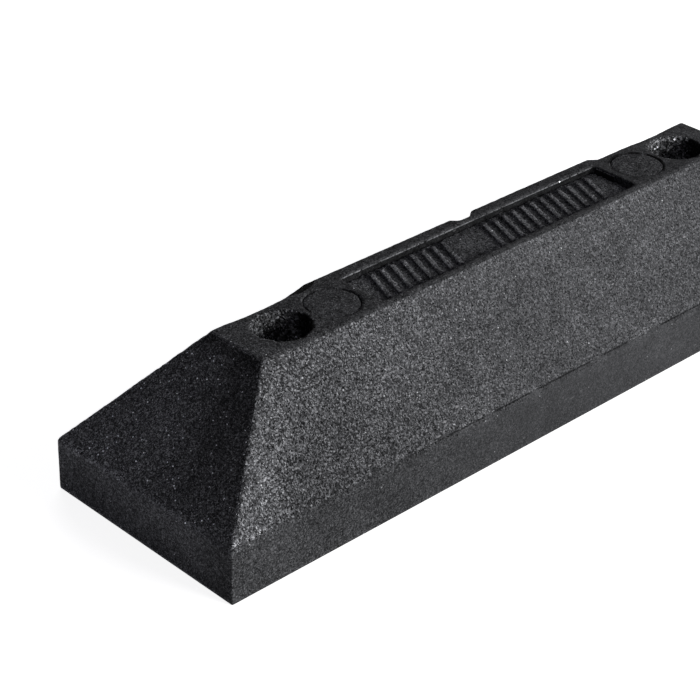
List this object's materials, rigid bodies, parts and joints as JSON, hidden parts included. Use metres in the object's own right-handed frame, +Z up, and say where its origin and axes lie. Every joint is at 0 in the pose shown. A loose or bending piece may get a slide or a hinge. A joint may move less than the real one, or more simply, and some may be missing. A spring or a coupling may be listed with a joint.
{
  "type": "parking wheel stop",
  "caption": "Low rubber parking wheel stop with sloped sides, a narrow recessed top and deep fixing holes that hold captive ground screws.",
  "frame": {"origin": "middle of the underside, on the ground", "axes": "+X along the stop, +Y towards the long side with the two lips, +Z up"},
  "size_m": [0.55, 0.15, 0.1],
  "materials": {
    "rubber_granulate": "coarse bonded granulate",
    "panel_rubber": "fine bonded granulate",
    "disc_rubber": "fine bonded granulate",
    "bush_steel": "zinc plated",
    "washer_steel": "zinc plated",
    "screw_steel": "zinc plated"
  },
  "bodies": {
    "block": {"rubber_block": "rubber_granulate", "top_panel": "panel_rubber", "left_disc": "disc_rubber", "right_disc": "disc_rubber", "left_bush": "bush_steel", "right_bush": "bush_steel"},
    "left_washer": {"left_washer": "washer_steel"},
    "left_screw": {"left_screw": "screw_steel"},
    "right_washer": {"right_washer": "washer_steel"},
    "right_screw": {"right_screw": "screw_steel"}
  },
  "joints": [
    {"name": "left_screw_drive", "type": "slide", "parent": "block", "child": "left_washer", "axis": [0, 0, -1], "range_m": [0, 0.0374]},
    {"name": "left_screw_turn", "type": "hinge", "parent": "left_washer", "child": "left_screw", "pos_m": [-0.172, 0, 0.0685], "axis": [0, 0, -1], "range_deg": [-15, 3010]},
    {"name": "right_screw_drive", "type": "slide", "parent": "block", "child": "right_washer", "axis": [0, 0, -1], "range_m": [0, 0.0374]},
    {"name": "right_screw_turn", "type": "hinge", "parent": "right_washer", "child": "right_screw", "pos_m": [0.172, 0, 0.0685], "axis": [0, 0, -1], "range_deg": [-15, 3010]}
  ],
  "couplings": [
    {"joint": "left_screw_turn", "follows": "left_screw_drive", "rad_per_m": 1396.3},
    {"joint": "right_screw_turn", "follows": "right_screw_drive", "rad_per_m": 1396.3}
  ]
}
